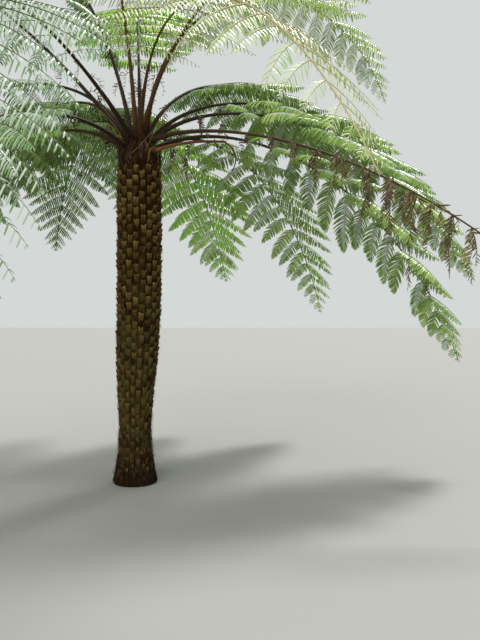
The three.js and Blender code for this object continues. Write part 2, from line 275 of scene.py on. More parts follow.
# Dry fibres and chaffy scales: thin, slightly shiny brown hairs
def dryFibre(name, colour):
    finish = {"Base Color": linearColour(colour), "Roughness": 0.75, "Specular IOR Level": 0.12}
    material, tree, shader = newMaterial(name, finish)
    hair = 3 * mm  # coarser than the real hairs, so that they show
    addGrain(tree, shader, {"Scale": 1 / hair / 3, "Detail": 3.0}, {"Strength": 0.4, "Distance": 0.5 * mm})
    return material


# The stalks' tough skin: scaly and dark at the crown, then smooth, and greener further out. It is rough to
# the touch from small warts. The stops are shares of the way from the crown's middle to the fronds' tips.
def stalkSkin(name, stops):
    material, tree, shader = newMaterial(name, {"Roughness": 0.65, "Specular IOR Level": 0.2})
    crownMiddle = (0.02, 0.0, 1.6)
    tipDistance = 2.3
    wart = 5 * mm  # coarser than the real warts, so that they show
    place, warts = addGrain(tree, shader, {"Scale": 1 / wart / 2, "Detail": 3.0},
                            {"Strength": 0.6, "Distance": 1.0 * mm})
    away = addNode(tree, "ShaderNodeVectorMath", {"operation": "DISTANCE", 1: crownMiddle}, {0: place})
    uneven = addNode(tree, "ShaderNodeMapRange", {"To Min": -0.12, "To Max": 0.12}, {"Value": warts})
    share = addNode(tree, "ShaderNodeMath", {"operation": "MULTIPLY_ADD", 1: 1 / tipDistance},
                    {0: away.outputs["Value"], 2: uneven.outputs["Result"]})
    tone = fillRamp(addNode(tree, "ShaderNodeValToRGB", None, {"Fac": share.outputs["Value"]}), stops)
    tree.links.new(tone.outputs["Color"], shader.inputs["Base Color"])
    return material


# Fern leaf: a thin leathery blade with a waxy sheen on top and fine parallel veins
def leafBlade(name, colour, roughness):
    finish = {"Roughness": roughness, "IOR": 1.42, "Specular IOR Level": 0.45}
    material, tree, shader = newMaterial(name, {"Base Color": linearColour(colour), **finish})
    vein = 3 * mm  # coarser than the real veins, so that they show
    addGrain(tree, shader, {"Scale": 1 / vein / 2, "Detail": 2.0}, {"Strength": 0.35, "Distance": 0.6 * mm})
    return material


# Leaf tones. Silver, pale and the sheen white are light tones that stand for painted highlights: the shine of
# the sky on glossy blades, and strong light
leafTones = {
    "deep": "#566e2c",
    "mid": "#749241",
    "fresh": "#8fad54",
    "vivid": "#8fc140",
    "bright": "#aac270",
    "cool": "#71955d",
    "pale": "#cad2ac",
    "silver": "#a3b599",
    # a painted sheen, near white
    "sheenWhite": "#bccbb4",
    "dry": "#796c4a",
    "umber": "#57482c",
    "charred": "#382817",
}
# The lighter tone painted on a blade near its midrib, where it lies level: a painted highlight for the shine
# there
sheenBandInto = {"deep": "cool", "mid": "silver", "fresh": "silver", "vivid": "pale", "bright": "pale",
             "cool": "sheenWhite", "silver": "sheenWhite"}
driedTones = ("dry", "umber", "charred")
midribTones = {"green": "#98ac6f", "golden": "#ac9854", "brown": "#452f1d"}
fibreTones = {"darkFibre": "#211309", "redFibre": "#462913", "strawFibre": "#725c32"}
skinTones = {
    "redBrown": [(0.0, "#1f1009"), (0.06, "#45290e"), (0.3, "#4f3212"), (0.5, "#483d18"), (0.9, "#7c8038")],
    "dark": [(0.0, "#180c05"), (0.08, "#281a07"), (0.35, "#2c280c"), (0.6, "#3e4616"), (0.95, "#6d7d36")],
    "pale": [(0.0, "#1f1009"), (0.06, "#3c260d"), (0.28, "#4e401a"), (0.42, "#938a58"), (0.95, "#beb88f")],
    "brown": [(0.0, "#1f1009"), (0.06, "#36210e"), (0.3, "#3e2d18"), (0.6, "#49391f"), (0.95, "#5f4d2d")],
    "dead": [(0.0, "#816534"), (0.07, "#63461f"), (0.12, "#54301f"), (0.3, "#3e2118"), (0.95, "#644d32")],
}
leafRoughness = {"fresh": 0.36, "dried": 0.8, "midrib": 0.5}
leafNames = list(leafTones)
leafMaterials = [leafBlade(name + "Leaf", colour, leafRoughness["dried" if name in driedTones else "fresh"])
                 for name, colour in leafTones.items()]
# Slots of the lighter tones that paint the highlight near a midrib
sheenBandSlots = np.array([leafNames.index(sheenBandInto.get(name, name)) for name in leafNames])
midribNames = list(midribTones)
midribMaterials = [leafBlade(name + "Midrib", colour, leafRoughness["midrib"])
                   for name, colour in midribTones.items()]
skins = {name: stalkSkin(name + "Stalk", stops) for name, stops in skinTones.items()}
barkMaterial = mattedBark()
stubMaterial = weatheredShadedStub()
fibreMaterials = [dryFibre(name, colour) for name, colour in fibreTones.items()]
straw = list(fibreTones).index("strawFibre")
print("materials made")

# The trunk, in millimetres, from the frame's own profile
trunk = {
    "profile": [(0, 104), (70, 89), (170, 78), (260, 75), (380, 82), (640, 98), (880, 103), (1450, 103),
                (1560, 101), (1620, 90), (1655, 68), (1678, 38), (1686, 0)],
    "lean": 20,
    "leanHeights": (250, 1000),
    "coreTop": [(1560, 94), (1590, 82), (1620, 58), (1645, 30), (1656, 0)],  # among the stalks' feet
    "around": 120,
    "ringGap": 7,
    "sunk": 5,  # the matted core lies this far inside the frame's surface
    "relief": 5,
    "creases": [(90, 14, (0, 0, 0)), (30, 24, (7, 3, 1))],  # cells per metre across and up, and a shift
}


def radiusAt(height):
    heights, radii = np.array(trunk["profile"], float).T
    return np.interp(height, heights, radii)


def middleAt(height):
    return trunk["lean"] * smoothStep(height, *trunk["leanHeights"])


def aroundTrunk(angle, radius, height):
    return np.column_stack([middleAt(height) + radius * np.cos(angle), radius * np.sin(angle), height])


# The core is spun from its profile, then creased lengthways
def buildCore():
    bm = bmesh.new()
    topHeights, topRadii = np.array(trunk["coreTop"], float).T
    heights = np.arange(0, topHeights[-1], trunk["ringGap"])
    widest = np.interp(heights, topHeights, topRadii, left=np.inf)
    radii = np.maximum(np.minimum(radiusAt(heights) - trunk["sunk"], widest), 1.0)
    outline = [(0.0, 0.0), *zip(radii, heights), (0.0, topHeights[-1])]
    verts = [bm.verts.new((r * mm, 0, z * mm)) for r, z in outline]
    edges = [bm.edges.new(pair) for pair in zip(verts, verts[1:])]
    bmesh.ops.spin(bm, geom=verts + edges, cent=(0, 0, 0), axis=(0, 0, 1), angle=2 * np.pi,
                   steps=trunk["around"], use_merge=True, use_duplicate=False)
    bmesh.ops.remove_doubles(bm, verts=bm.verts, dist=0.05 * mm)
    bmesh.ops.recalc_face_normals(bm, faces=bm.faces)
    for v in bm.verts:
        z = v.co.z / mm
        if z < 0.5:  # the flat cut at the ground stays flat
            continue
        crease = sum(noise.noise(Vector((v.co.x * across, v.co.y * across, v.co.z * up)) + Vector(shift))
                     for across, up, shift in trunk["creases"])
        v.co += Vector((v.co.x, v.co.y, 0)).normalized() * crease * trunk["relief"] * mm
        v.co.x += float(middleAt(z)) * mm
    for face in bm.faces:
        face.smooth = True
    mesh = bpy.data.meshes.new("trunk_core")
    bm.to_mesh(mesh)
    bm.free()
    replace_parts(addPiece("trunk_core", mesh, [barkMaterial]), "trunk")


# A dark hollow under the snapped stalk, with a rim that arches over it
hollow = {
    "azimuth": -39,
    "bottom": 1522,
    "top": 1596,
    "halfWide": 33,
    "skew": 0.25,  # share of the half width that its top lies to the right
    "square": 0.7,  # a lower power makes a squarer arch
    "rimRadius": (2, 6),
    "rimPoints": 25,
    "rimSunk": 1,
    "bareAside": 15,  # no stub grows within these degrees
    "bareAbove": 20,
}


def buildHollowRim():
    sweep = np.linspace(0, np.pi, hollow["rimPoints"])
    height = mix(hollow["bottom"], hollow["top"], np.sin(sweep) ** hollow["square"])
    radius = radiusAt(height) - hollow["rimSunk"]
    aside = (np.cos(sweep) + hollow["skew"] * np.sin(sweep)) * hollow["halfWide"]
    points = aroundTrunk(np.radians(hollow["azimuth"]) + aside / radius, radius, height)
    tube = (points, mix(*hollow["rimRadius"], np.sin(sweep)), 0)
    piece = joinTubes("trunk_hollow_rim", [tube], 3, [skins["dead"]])
    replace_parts(piece, "trunk")


# Stubs of fallen stalks: plates that bulge to a ragged lip, over a hollow
stub = {
    "columns": 20,
    "pitch": 52,
    "heights": (78, 1520),  # the lowest lip, and where the rows end
    "faces": (6, 8),  # across and up
    "wide": 0.86,  # share of a column's width
    "tall": 47,
    "lip": 10,  # how far it stands out at its lip
    "rise": 0.9,  # power of the slope up to the lip
    "flat": 0.3,  # share of the lip that doesn't bulge
    "bulge": 0.8,
    "rootWide": 0.94,
    "ragged": (8, 3.4),  # height of the lip's ragged edge, and its waves across
    "horns": (-1, 1.5),  # the lip's middle and its corners
    "drop": (0, 5, 15),  # how far down at the lip, on the hollow's wall and at its bottom
    "back": (0, 0.35, 0.85),  # and how far back, in shares of the lip
    "hollowWide": 0.8,
    "sideLip": 0.2,  # its sides stand out this share of the lip at most
    "sunk": 3,  # inside the frame's surface, where its sides and root go deeper by the next two
    "sideSunk": 3,
    "rootSunk": 4,
    "worn": (700, 200),  # the lips are whole above the first height, and wear off down to the second
    "wornAway": 0.55,
    "uneven": {"height": 7, "turn": 0.05, "tall": 0.14, "lip": 0.35, "wide": 0.08},
}


def buildStubs():
    across, up = stub["faces"]
    bm = bmesh.new()
    bmesh.ops.create_grid(bm, x_segments=across, y_segments=up, size=0.5)
    corners, faces = templateArrays(bm)
    x = corners[:, 0] * 2
    row = np.rint((corners[:, 1] + 0.5) * up)
    lipRow = up - 2
    inside = np.maximum(row - lipRow, 0).astype(int)
    rise = np.minimum(row / lipRow, 1)
    drop, back = np.array(stub["drop"])[inside], np.array(stub["back"])[inside]
    bulge = np.sqrt(np.clip(1 - stub["bulge"] * x ** 6, 0, 1))
    outward = rise ** stub["rise"] * mix(stub["flat"], 1, bulge)
    narrow = mix(stub["rootWide"], 1.0, rise) * np.where(inside > 0, stub["hollowWide"], 1)
    uneven = stub["uneven"]
    raggedHeight, waves = stub["ragged"]
    placed = []
    for column in range(stub["columns"]):
        for level, height in enumerate(np.arange(*stub["heights"], stub["pitch"])):
            serial = column * 37 + level
            top = height + stub["pitch"] / 2 * (column % 2) + uneven["height"] * jitter(serial, 1)
            angle = 2 * np.pi * column / stub["columns"] + uneven["turn"] * jitter(serial, 2)
            aside = (np.degrees(angle) - hollow["azimuth"] + 180) % 360 - 180
            beside = hollow["bottom"] < top < hollow["top"] + hollow["bareAbove"]
            if beside and abs(aside) < hollow["bareAside"]:
                continue
            tall = stub["tall"] * (1 + uneven["tall"] * jitter(serial, 3))
            worn = stub["wornAway"] * smoothStep(top, *stub["worn"])
            lip = stub["lip"] * (1 + uneven["lip"] * jitter(serial, 4)) * (1 - worn)
            radius = radiusAt(top)
            wide = 2 * np.pi * radius / stub["columns"] * stub["wide"]
            wide *= 1 + uneven["wide"] * jitter(serial, 5)
            ragged = np.array([noise.noise(Vector((serial * 3.1, at * waves, 0.5))) for at in x])
            lipEdge = ragged * raggedHeight + mix(*stub["horns"], x ** 2)
            z = top - tall + rise * tall + (rise == 1) * lipEdge - drop
            out = lip * outward - lip * back
            sides = np.minimum(out, lip * stub["sideLip"] * rise) - stub["sideSunk"]
            out = np.where(np.abs(x) > 0.99, sides, out) - stub["rootSunk"] * (1 - rise) * bulge
            turn = angle + x * wide / 2 * narrow / radius
            placed.append(aroundTrunk(turn, radius + out - stub["sunk"], z) * mm)
    placed = np.array(placed)
    piece = joinCopies("trunk_stubs", placed, faces, np.zeros(len(placed)), [stubMaterial])
    # The map holds each stub's own tone, and the height on the stub
    layer = piece.data.uv_layers.new(name="UVMap")
    tones = np.repeat(chance.random(len(placed)), faces.size)
    heights = np.tile((row / up)[faces.ravel()], len(placed))
    layer.data.foreach_set("uv", np.column_stack([tones, heights]).astype(np.float32).ravel())
    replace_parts(piece, "trunk")
    print("stubs:", len(placed))


# Three-sided hairs from their roots, directions, lengths and widths
def hairCopies(roots, directions, lengths, widths):
    bm = bmesh.new()
    bmesh.ops.create_cone(bm, segments=3, radius1=0.5, radius2=0.0, depth=1.0, cap_ends=False)
    bmesh.ops.translate(bm, verts=bm.verts, vec=(0, 0, 0.5))
    bmesh.ops.remove_doubles(bm, verts=bm.verts, dist=0.001)
    corners, faces = templateArrays(bm)
    directions = unit(directions)
    notAlong = np.where(np.abs(directions[:, 2:]) > 0.9, [[1.0, 0, 0]], [[0, 0, 1.0]])
    first = unit(np.cross(directions, notAlong))
    second = np.cross(directions, first)
    x, y, z = corners.T
    return spreadCopies(roots, [(first, x, widths), (second, y, widths), (directions, z, lengths)]), faces


# Fibres: they stand out between the stubs, hang from the lips and mat the foot and the crown
fibres = {
    # rising is the share that points up, where the others hang
    "zones": [
        dict(count=5200, heights=(90, 1600), outward=0.5, rising=0.55),
        dict(count=1000, heights=(1540, 1682), outward=1.1, rising=1),
        dict(count=1500, heights=(6, 240), outward=0.6, rising=0.55),
    ],
    "length": (14, 42),
    "shortest": 4,
    "clear": 2,  # over the ground
    "width": 1.7,
    "widthShares": (0.6, 1.4),
    "outward": (0.3, 1.2),
    "astray": 0.35,
    "sunk": 2,
    "tones": [0.5, 0.34, 0.16],
    "strawBelow": 1530,
}


def buildFibres():
    roots, directions, lengths = [], [], []
    for zone in fibres["zones"]:
        count = zone["count"]
        z = chance.uniform(*zone["heights"], count)
        angle = chance.uniform(0, 2 * np.pi, count)
        roots.append(aroundTrunk(angle, radiusAt(z) - fibres["sunk"], z) * mm)
        radial = levelWay(angle)
        aside = np.cross(upward, radial) * chance.normal(0, fibres["astray"], (count, 1))
        lean = 1.0
        if zone["rising"] < 1:
            lean = np.where(chance.random(count) < zone["rising"], 1.0, -1.0)[:, None]
        outward = radial * zone["outward"] * chance.uniform(*fibres["outward"], (count, 1))
        directions.append(outward + aside + upward * lean)
        lengths.append(chance.uniform(*fibres["length"], count) * mm)
    roots, directions, lengths = map(np.concatenate, (roots, directions, lengths))
    # No fibre is longer than its root is high, so a hanging one ends above the ground
    lengths = np.minimum(lengths, np.maximum(roots[:, 2] - fibres["clear"] * mm, fibres["shortest"] * mm))
    widths = fibres["width"] * mm * chance.uniform(*fibres["widthShares"], len(lengths))
    placed, faces = hairCopies(roots, directions, lengths, widths)
    slots = chance.choice(3, len(lengths), p=fibres["tones"])
    slots[(slots == straw) & (roots[:, 2] > fibres["strawBelow"] * mm)] = 0
    piece = joinCopies("trunk_fibres", placed, faces, slots, fibreMaterials)
    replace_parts(piece, "trunk")


# Rootlets that run down over the flare and into the ground
rootlets = {
    "count": 200,
    "points": 7,
    "tops": (25, 155),
    "fewHigh": 1.5,  # a higher power leaves fewer of them high up
    "length": (40, 120),
    "lowest": 3,
    "drift": 0.12,
    "outside": (-4, 1),
    "arch": 3,
    "radius": (1.2, 2.6),
    "tones": [0.25, 0.45, 0.3],
}


def buildRootlets():
    down = np.linspace(0, 1, rootlets["points"])
    arch = rootlets["arch"] * np.sin(np.linspace(0, np.pi, rootlets["points"]))
    tubes = []
    for _ in range(rootlets["count"]):
        top = mix(*rootlets["tops"], chance.random() ** rootlets["fewHigh"])
        bottom = max(rootlets["lowest"], top - chance.uniform(*rootlets["length"]))
        z = np.linspace(top, bottom, rootlets["points"])
        angle = chance.uniform(0, 2 * np.pi) + chance.normal(0, rootlets["drift"]) * down ** 2
        r = radiusAt(z) + chance.uniform(*rootlets["outside"]) + arch
        points = aroundTrunk(angle, np.minimum(r, trunk["profile"][0][1]), z)
        radius = chance.uniform(*rootlets["radius"])
        tone = chance.choice(3, p=rootlets["tones"])
        tubes.append((points, np.full(len(z), radius), tone))
    piece = joinTubes("trunk_rootlets", tubes, 0, fibreMaterials)
    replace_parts(piece, "trunk")


buildCore()
buildStubs()
buildHollowRim()
buildFibres()
buildRootlets()
print("trunk made")

# The crown, in millimetres and degrees, by the frame's rule
stalk = {
    "bareShare": 0.2,
    "bareSteps": 5,
    "baseRadius": 12,
    "bladeRadius": 7,
    "tipRadius": 2,
    "tipPoint": 8,
    "tipEnd": 0.5,
    "roll": 6,
    "pathSteps": 80,
    "tubeSteps": 60,
    "crowding": 1.2,  # a higher power puts more of the tube's steps near the crown
    "footDrop": {"low": 84, "mid": 110, "top": 134},  # how far its foot runs down the trunk
    "footSteps": 12,
    "footRadius": 13.5,
    "footSlim": 0.7,  # its ends' share of that
    "footSunk": (15, 2),  # inside the trunk's surface at its start, and once it has come up
    "footUp": 0.3,  # the share of the foot that it takes to come up
    "footOut": (6, 0.1),  # how far out it can be at its start, and the share after which it turns out
}
rings = {"low": (80, 1598), "mid": (60, 1638), "top": (36, 1661)}  # how far out and how high the stalks stand


def ringPoint(ring, seat):
    out, height = ring
    turn = np.radians(seat)
    return np.array([trunk["lean"] + out * np.cos(turn), out * np.sin(turn), height])


# Points or directions along a line, at places counted in its steps
def sampled(line, at):
    return np.stack([np.interp(at, np.arange(len(line)), line[:, k]) for k in range(3)], -1)


# A limb's middle line: for distances along it, the points, tangents, sides and normals
def middleLine(limb, start, roll):
    steps = stalk["pathSteps"]

    def tangentAt(u):
        climb = np.radians(mix(limb["rise"], limb["fall"], u ** limb["early"]))
        heading = np.radians(limb["azimuth"] + limb["sway"] * u)
        return turned(levelWay(heading), upward, climb[..., None])

    moves = tangentAt((np.arange(steps) + 0.5) / steps) * limb["length"] / steps
    corners = np.vstack([start, start + np.cumsum(moves, axis=0)])

    def at(distance):
        u = np.asarray(distance) / limb["length"]
        point = sampled(corners, u * steps)
        tangent = tangentAt(u)
        level = np.cross(upward, levelWay(np.radians(limb["azimuth"] + limb["sway"] * u)))
        side = turned(level, np.cross(tangent, level), np.radians(roll))
        return point, tangent, side, np.cross(tangent, side)

    return at


# A stalk's foot: it comes up along the trunk's surface and out of it
def growFoot(level, seat):
    out, height = rings[level]
    share = np.arange(stalk["footSteps"]) / stalk["footSteps"]
    z = height - stalk["footDrop"][level] * (1 - share)
    surface = radiusAt(z) - mix(*stalk["footSunk"], smoothStep(share, 0, stalk["footUp"]))
    room, outFrom = stalk["footOut"]
    r = np.minimum(surface, mix(surface[0] + room, out, smoothStep(share, outFrom, 1)))
    radii = mix(stalk["footRadius"] * stalk["footSlim"], stalk["footRadius"], np.sin(np.pi * share))
    return aroundTrunk(np.radians(seat), r, z), radii


# Chaffy scales on the stalks near the crown
scales = {
    "count": 300,  # on each stalk
    "reach": 260,
    "seat": 0.9,
    "outward": (0.25, 0.9),
    "along": (0.4, 1),
    "length": (8, 20),
    "width": 1.5,
    "tones": [0.45, 0.45, 0.1],
}


def buildStalkScales():
    roots, directions = [], []
    for line, serial in scalyStalks:
        pick = np.random.default_rng(100 + serial)
        distance = scales["reach"] * pick.random(scales["count"]) ** 2
        point, tangent, side, normal = line(distance)
        turn = pick.uniform(0, 2 * np.pi, (len(distance), 1))
        outward = turned(side, normal, turn)
        radius = mix(stalk["baseRadius"], stalk["bladeRadius"], distance / scales["reach"])[:, None]
        roots.append((point + outward * radius * scales["seat"]) * mm)
        away = outward * pick.uniform(*scales["outward"], (len(distance), 1))
        directions.append(away + tangent * pick.uniform(*scales["along"], (len(distance), 1)))
    roots, directions = np.concatenate(roots), np.concatenate(directions)
    lengths = chance.uniform(*scales["length"], len(roots)) * mm
    placed, faces = hairCopies(roots, directions, lengths, np.full(len(roots), scales["width"] * mm))
    slots = chance.choice(3, len(roots), p=scales["tones"])
    joinCopies("crown_scales", placed, faces, slots, fibreMaterials)


# The leaflets, by the frame's rule too, and how they wither
leaflet = {
    "pairs": 18,
    "crowding": 1.25,
    "length": 470,
    "baseShare": 0.36,
    "fullFrom": 0.4,
    "taper": (2.3, 0.85),
    "seat": 0.6,
    "sweep": (8, 44),
    "steps": 9,
    "droopStart": 4,
    "droopMore": 27,
    "droopPower": 1.1,
    "forwardBend": 9,  # a midrib bends this far towards the frond's tip
    "midribRadius": (2.4, 0.6),
    "midribThinnest": 0.5,  # share of that on a short leaflet
    "uneven": {"sweep": 4, "droop": 7, "length": 0.07, "frond": 0.05, "turn": 14},
    # each of its random measures has its own jitter
    "draws": {"sweep": 0, "hang": 7, "twist": 11, "shrink": 13, "crumple": 17, "length": 50, "droop": 90,
              "turn": 150, "death": 200},
}
withering = {
    "crumple": 40,
    "crumpleWaves": (9, 5),  # radians along the midrib, and how far they are shifted at most
    "crumpleDroop": 0.5,
    "droop": (30, 60),  # usual and uneven
    "droopMore": 150,
    "droopMost": 86,
    "sweep": 45,
    "length": (0.5, 0.62),  # shares of a live one's, at the frond's root and tip
    "lengthUneven": 0.45,
    "shortLength": 0.3,
    "pinnuleLength": 0.75,
    "pinnuleWidth": 0.7,
    "pinnuleTurn": (5, 50),
    "lobeWidth": 0.4,
}


def lengthShare(blade):
    rise = np.sin(np.pi / 2 * np.minimum(1, blade / leaflet["fullFrom"]))
    late, blunt = leaflet["taper"]
    return mix(leaflet["baseShare"], 1, rise) * (1 - blade ** late) ** blunt


# A midrib's points, from its root and its direction at each step
def midribPoints(root, along, length):
    moves = (along[1:] + along[:-1]) / 2 * length / leaflet["steps"]
    return np.vstack([root, root + np.cumsum(moves, axis=0)])


# The midribs of a frond's leaflets, each with its points, its directions, its length and its tones
def growMidribs(frond, line, serial):
    pairs, uneven = leaflet["pairs"], leaflet["uneven"]
    bare = frond["length"] * stalk["bareShare"]
    leafy = frond["length"] - bare - stalk["tipPoint"]
    blades = 1 - (1 - np.arange(pairs + 1) / pairs) ** leaflet["crowding"]
    point, tangent, side, normal = line(bare + leafy * blades)
    radii = mix(stalk["bladeRadius"], stalk["tipRadius"], blades)
    longest = leaflet["length"] * (frond["reach"] + uneven["frond"] * jitter(serial, 3))
    withered = frond["tones"] is dried
    steps = np.arange(leaflet["steps"] + 1) / leaflet["steps"]
    ribs = []
    for k in range(pairs):
        # A withered frond has short leaflets among the long ones
        for place in (1, -1, 3, -3) if withered else (1, -1):
            hand = int(np.sign(place))
            item = 2 * (k + stalk["bareSteps"]) + place
            odd = {name: jitter(serial, item + draw) for name, draw in leaflet["draws"].items()}
            dead = withered or odd["death"] > 1 - 2 * frond["dying"]
            blade = (blades[k] + blades[k + 1]) / 2
            outward = side[k] * hand
            length = longest * (1 + uneven["length"] * odd["length"]) * lengthShare(blade)
            sweep = mix(*leaflet["sweep"], blade) + uneven["sweep"] * odd["sweep"]
            sweeps = np.radians(sweep + leaflet["forwardBend"] * (steps - 0.5))
            droops = leaflet["droopStart"] + uneven["droop"] * odd["droop"]
            droops = droops + leaflet["droopMore"] * steps ** leaflet["droopPower"]
            if dead:
                waves, shift = withering["crumpleWaves"]
                crumple = withering["crumple"] * np.sin(waves * steps + shift * odd["crumple"])
                droop, droopUneven = withering["droop"]
                droops = droop + droopUneven * odd["hang"] + withering["droopMore"] * steps
                droops = np.minimum(droops, withering["droopMost"]) + crumple * withering["crumpleDroop"]
                sweeps = sweeps + np.radians(withering["sweep"] * odd["twist"] + crumple)
                shrunk = mix(*withering["length"], blade) * (1 + withering["lengthUneven"] * odd["shrink"])
                length *= withering["shortLength"] if abs(place) > 1 else shrunk
            droops = np.radians(droops)[:, None]
            level = turned(outward, tangent[k], sweeps[:, None])
            along = unit(turned(level, -upward, droops))
            root = (point[k] + point[k + 1]) / 2 + outward * radii[k] * leaflet["seat"]
            points = midribPoints(root, along, length)
            inFrond = squareTo(along, tangent[k])
            inLevel = unit(np.cross(upward, along))
            inLevel = inLevel * np.where(inLevel @ tangent[k] < 0, -1, 1)[:, None]
            across = squareTo(along, unit(mix(inFrond, inLevel, frond["level"])))
            up = np.cross(along, across) * -hand
            turn = np.radians(uneven["turn"] * odd["turn"])
            across, up = turned(across, up, turn), turned(up, -across, turn)
            tones = dried if dead else frond["tones"]
            ribs.append(dict(points=points, along=along, across=across, up=up, length=length, dead=dead,
                             tones=tones))
    return ribs + growRemains(line, bare, serial, steps[:, None])


# Shrivelled leaflets that still cling to the bare stalk
remains = {
    "count": 3,
    "places": (0.5, 1),  # shares of the bare stalk
    "length": (70, 170),
    "outward": 0.9,
    "twist": (0.6, 7),  # how far, and its radians along the midrib
    "fall": (0.2, 2.2),  # at its root and its tip
    "seat": 0.8,
}


def growRemains(line, bare, serial, steps):
    pick = np.random.default_rng(500 + serial)
    twist, waves = remains["twist"]
    ribs = []
    for distance in bare * pick.uniform(*remains["places"], remains["count"]):
        point, tangent, side, normal = line(distance)
        turn = pick.uniform(0, 2 * np.pi)
        outward = turned(side, normal, turn)
        length = pick.uniform(*remains["length"])
        twisted = np.cross(tangent, outward) * np.sin(waves * steps + turn) * twist
        along = unit(outward * (remains["outward"] - steps) + twisted - upward * mix(*remains["fall"], steps))
        points = midribPoints(point + outward * stalk["bladeRadius"] * remains["seat"], along, length)
        across = unit(np.cross(along, outward + 0.01))
        ribs.append(dict(points=points, along=along, across=across, up=np.cross(along, across), length=length,
                         dead=True, tones=shrivelled))
    return ribs


# The pinnules that make up a leaflet
pinnule = {
    "spacing": 13.5,
    "start": 0.6,  # share of the spacing before the first
    "fewest": 4,
    "length": 84,
    "lengthUneven": (-0.09, 0.07),
    "shorter": (0.25, 0.8),  # its length on a leaflet of no length, and how much a full leaflet adds
    "longest": 0.5,  # share of its leaflet's length
    "first": (0.62, 0.16),  # the first are this short, and full from this share of the leaflet on
    "last": 0.05,
    "taper": 0.85,
    "width": 11.5,
    "slender": 0.3,  # width to length at most
    "forward": (10, 42),
    "forwardPower": 2.5,
    "forwardUneven": (-4, 4),
    "bow": 0.22,
    "fold": (4, 26),  # below the leaflet's plane
    "hang": 0.1,
    "curl": (0.45, 0.8),  # its tip hangs this share of its length
    "plumb": 0.5,  # how far it hangs straight down instead of from the leaflet's plane
    "ridge": 0.2,
    "lobesFrom": 0.75,  # from this share of the leaflet on they merge into lobes of one blade
    "lobeWidth": 0.9,
    "lobeSlender": 0.6,
    "sheenBandReach": 0.34,  # a painted highlight reaches this share of its length
    "sameTone": 0.45,  # share that has its leaflet's tone
    "outline": (0.68, 1.0, 0.8, 1.0, 0.8, 0.75, 0.05),  # shares of its width, from its root to its tip
}


def pinnuleTemplate():
    steps = len(pinnule["outline"]) - 1
    bm = bmesh.new()
    bmesh.ops.create_grid(bm, x_segments=steps, y_segments=2, size=0.5)
    corners, faces = templateArrays(bm)
    along = corners[:, 0] + 0.5
    outline = np.array(pinnule["outline"])[np.rint(along * steps).astype(int)]
    # The faces near its root, which may take the painted highlight
    sheenBandFaces = along[faces].mean(axis=1) < pinnule["sheenBandReach"]
    return along, corners[:, 1] * 2 * outline, faces, sheenBandFaces


# All pinnules of a frond, in two rows along each midrib. They fold down from it and curl at the tip.
def growPinnules(frond, ribs, serial):
    pick = np.random.default_rng(serial)
    along, wide, faces, sheenBandFaces = pinnuleTemplate()
    bowed = along - pinnule["bow"] * along ** 2
    spacing = pinnule["spacing"] * frond["loose"]
    fullness = frond["fullness"]
    firstShare, fullFrom = pinnule["first"]
    least, more = pinnule["shorter"]
    placed, slots = [], []
    for rib in ribs:
        dead = rib["dead"]
        weights = np.array(list(rib["tones"].values()), float) / sum(rib["tones"].values())
        ownSlots = np.array([leafNames.index(name) for name in rib["tones"]])
        count = max(pinnule["fewest"], int(rib["length"] / spacing))
        t = (np.arange(count) + pinnule["start"]) / count
        point, tangent, across, up = (sampled(rib[key], t * leaflet["steps"])
                                      for key in ("points", "along", "across", "up"))
        size = mix(firstShare, 1, np.minimum(1, t / fullFrom))
        size = size * np.maximum(1 - t ** frond["square"], pinnule["last"]) ** pinnule["taper"]
        full = pinnule["length"] * min(1, least + more * rib["length"] / leaflet["length"])
        full = min(full * frond["fineness"], pinnule["longest"] * rib["length"])
        ribTone = pick.choice(ownSlots, p=weights)
        # Some leaflets have a painted highlight: lighter tones near the midrib
        waxed = not dead and pick.random() < frond["waxed"]
        for edge in (1, -1):
            length = full * size * (1 + pick.uniform(*pinnule["lengthUneven"], count))
            forward = mix(*pinnule["forward"], t ** pinnule["forwardPower"]) + frond["swept"] * (1 - t)
            forward = np.radians(forward + pick.uniform(*pinnule["forwardUneven"], count))[:, None]
            fold = np.radians(pick.uniform(*pinnule["fold"], count))[:, None]
            curl = pick.uniform(*pinnule["curl"], count) * frond["limp"]
            if dead:
                length *= withering["pinnuleLength"]
                forward = forward + np.radians(pick.uniform(*withering["pinnuleTurn"], count))[:, None]
                fold = fold + np.radians(pick.uniform(*withering["pinnuleTurn"], count))[:, None]
            flat = turned(across * edge, tangent, forward)
            axis = unit(turned(flat, -up, fold) - upward * pinnule["hang"])
            broad = squareTo(axis, tangent)
            over = np.cross(axis, broad)
            over *= np.sign(np.sum(over * up, -1, keepdims=True))
            width = np.minimum(pinnule["width"], length * pinnule["slender"]) * fullness
            width = width * (withering["pinnuleWidth"] if dead else 1)
            lobe = spacing * pinnule["lobeWidth"] * (withering["lobeWidth"] if dead else fullness)
            width = mix(width, lobe, smoothStep(t, pinnule["lobesFrom"], 1))
            width = np.minimum(width, length * pinnule["lobeSlender"])
            fall = unit(up + upward * pinnule["plumb"])
            parts = [(axis, bowed, length), (broad, wide, width / 2), (-fall, along ** 2, curl * length),
                     (-over, np.abs(wide), width * pinnule["ridge"])]
            placed.append(spreadCopies(point, parts))
            own = pick.choice(ownSlots, count, p=weights)
            own = np.where(pick.random(count) < pinnule["sameTone"], ribTone, own)[:, None]
            # Painted highlight: the faces near the midrib take the lighter tone
            slots.append(np.where(sheenBandFaces & waxed, sheenBandSlots[own], own))
    return np.concatenate(placed) * mm, faces, np.concatenate(slots)


# Shares of the leaf tones
lush = {"deep": 3, "mid": 5, "fresh": 3, "cool": 2}
sunny = {"mid": 1, "fresh": 3, "bright": 4, "pale": 3}
olive = {"mid": 4, "cool": 1, "fresh": 5, "bright": 1}
clear = {"mid": 1, "vivid": 6, "fresh": 2, "bright": 1}
